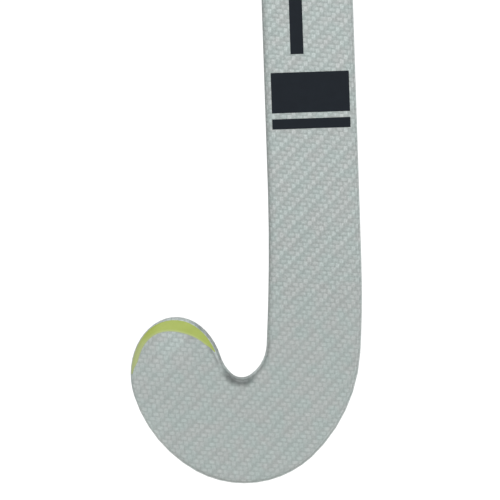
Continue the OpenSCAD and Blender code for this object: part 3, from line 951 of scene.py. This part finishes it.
# Natural rubber filled with carbon black, moulded: matt, slightly dusty, with a fine eggshell
# texture from the mould
rubber, tree, surface = new_material("moulded black rubber")
place = add(tree, "ShaderNodeTexCoord").outputs["Object"]
eggshell = add(
    tree, "ShaderNodeTexNoise", {"Vector": place, "Scale": 1 / (0.5 * MM), "Detail": 2.0}
)
bloom = add(tree, "ShaderNodeTexNoise", {"Vector": place, "Scale": 1 / (9 * MM), "Detail": 3.0})
rubber_colour = add(
    tree,
    "ShaderNodeMix",
    {"Factor": bloom.outputs["Fac"], "A": paint("#1e2023"), "B": paint("#303338")},
    data_type="RGBA",
)
mould = add(
    tree,
    "ShaderNodeBump",
    {"Height": eggshell.outputs["Fac"], "Strength": 0.5, "Distance": 0.06 * MM},
)
rubber_surface = add(
    tree,
    "ShaderNodeBsdfPrincipled",
    {
        "Base Color": rubber_colour.outputs["Result"],
        "Roughness": 0.7,
        "Normal": mould.outputs["Normal"],
    },
)
tree.links.new(rubber_surface.outputs[0], surface)
# Creased edges hold the cap's form while its outline is rounded
cap.normal_update()
crease = cap.edges.layers.float.new("crease_edge")
for edge in cap.edges:
    if edge.calc_face_angle(0) > math.radians(35):
        edge[crease] = 1.0
end_cap = finish_piece(cap, "end_cap", "butt_cap", [rubber])
rounding = end_cap.modifiers.new("Round outline", "SUBSURF")
rounding.levels = 2
rounding.render_levels = 2
end_cap.modifiers.move(1, 0)

# ---- Studio --------------------------------------------------------------------------------
# A round table of white paper below the held stick, a soft key light above and in front of it,
# and a white room that is brighter above and towards the heel side.

lift = 0.35
table_radius = 1.3
form = bmesh.new()
bmesh.ops.create_circle(form, cap_ends=True, segments=96, radius=table_radius)
bmesh.ops.translate(form, verts=form.verts, vec=(0, 0, -lift))
mesh = bpy.data.meshes.new("floor")
form.to_mesh(mesh)
form.free()
floor = bpy.data.objects.new("floor", mesh)
bpy.context.scene.collection.objects.link(floor)
# Matt white paper, which fades into the backdrop towards its rim
white, tree, surface = new_material("matt white paper")
place = add(tree, "ShaderNodeTexCoord").outputs["Object"]
flat = add(tree, "ShaderNodeVectorMath", {0: place, 1: (1, 1, 0)}, operation="MULTIPLY").outputs[0]
out = add(tree, "ShaderNodeVectorMath", {0: flat}, operation="LENGTH").outputs["Value"]
fade = add(
    tree,
    "ShaderNodeMapRange",
    {"Value": out, "From Min": 0.35 * table_radius, "From Max": 0.95 * table_radius},
    interpolation_type="SMOOTHSTEP",
).outputs["Result"]
paper = add(tree, "ShaderNodeBsdfDiffuse", {"Color": paint("#f4f4f2")})
clear = add(tree, "ShaderNodeBsdfTransparent")
faded = add(tree, "ShaderNodeMixShader", {0: fade, 1: paper.outputs[0], 2: clear.outputs[0]})
tree.links.new(faded.outputs[0], surface)
mesh.materials.append(white)


def softbox(name, place, aim, width, height, watts):
    """A rectangular area light that looks at a point."""
    light = bpy.data.lights.new(name, "AREA")
    light.shape = "RECTANGLE"
    light.size = width
    light.size_y = height
    light.energy = watts
    lamp = bpy.data.objects.new(name, light)
    lamp.location = place
    lamp.rotation_euler = (Vector(aim) - Vector(place)).to_track_quat("-Z", "Y").to_euler()
    lamp.visible_camera = False
    bpy.context.scene.collection.objects.link(lamp)


softbox("key softbox", (0.15, -1.8, 1.7), (0, 0, 0.2), 1.6, 1.6, 18.5)

world = bpy.data.worlds.new("studio")
bpy.context.scene.world = world
world.use_nodes = True
tree = world.node_tree
tree.nodes.clear()
# The room's light by direction: brighter towards the heel side and upwards
room_level = 0.535
room_lean = (0.1, 0.0, 0.15)
look = add(tree, "ShaderNodeTexCoord").outputs["Generated"]
lean = add(
    tree, "ShaderNodeVectorMath", {0: look, 1: room_lean}, operation="DOT_PRODUCT"
).outputs["Value"]
level = add(tree, "ShaderNodeMath", {0: lean, 1: room_level}, operation="ADD").outputs[0]
room = add(tree, "ShaderNodeBackground", {"Color": (1, 1, 1, 1), "Strength": level})
backdrop = add(tree, "ShaderNodeBackground", {"Color": (1, 1, 1, 1), "Strength": 1.1})
ray = add(tree, "ShaderNodeLightPath")
both = add(
    tree, "ShaderNodeMixShader", {
        0: ray.outputs["Is Camera Ray"], 1: room.outputs[0], 2: backdrop.outputs[0]
    }
)
add(tree, "ShaderNodeOutputWorld", {"Surface": both.outputs[0]})

bpy.context.scene.view_settings.view_transform = "Standard"

# The camera looks slightly down on the face from three metres, with a long lens. How far it
# looks down is a guess, and its roll gives the shaft its lean
camera_distance = 3.0
camera_rise = math.radians(9)
camera_roll = math.radians(-1.93)
view_width = 0.250
aim = Vector((0.0032, -0.0160, 0.1191))
sensor = 36

direction = Vector((0, -math.cos(camera_rise), math.sin(camera_rise)))
lens = bpy.data.cameras.new("studio camera")
lens.sensor_width = sensor
lens.lens = sensor * camera_distance / view_width
camera = bpy.data.objects.new("studio camera", lens)
camera.location = aim + direction * camera_distance
turn = (-direction).to_track_quat("-Z", "Y").to_matrix() @ Matrix.Rotation(camera_roll, 3, "Z")
camera.rotation_euler = turn.to_euler()
bpy.context.scene.collection.objects.link(camera)
bpy.context.scene.camera = camera
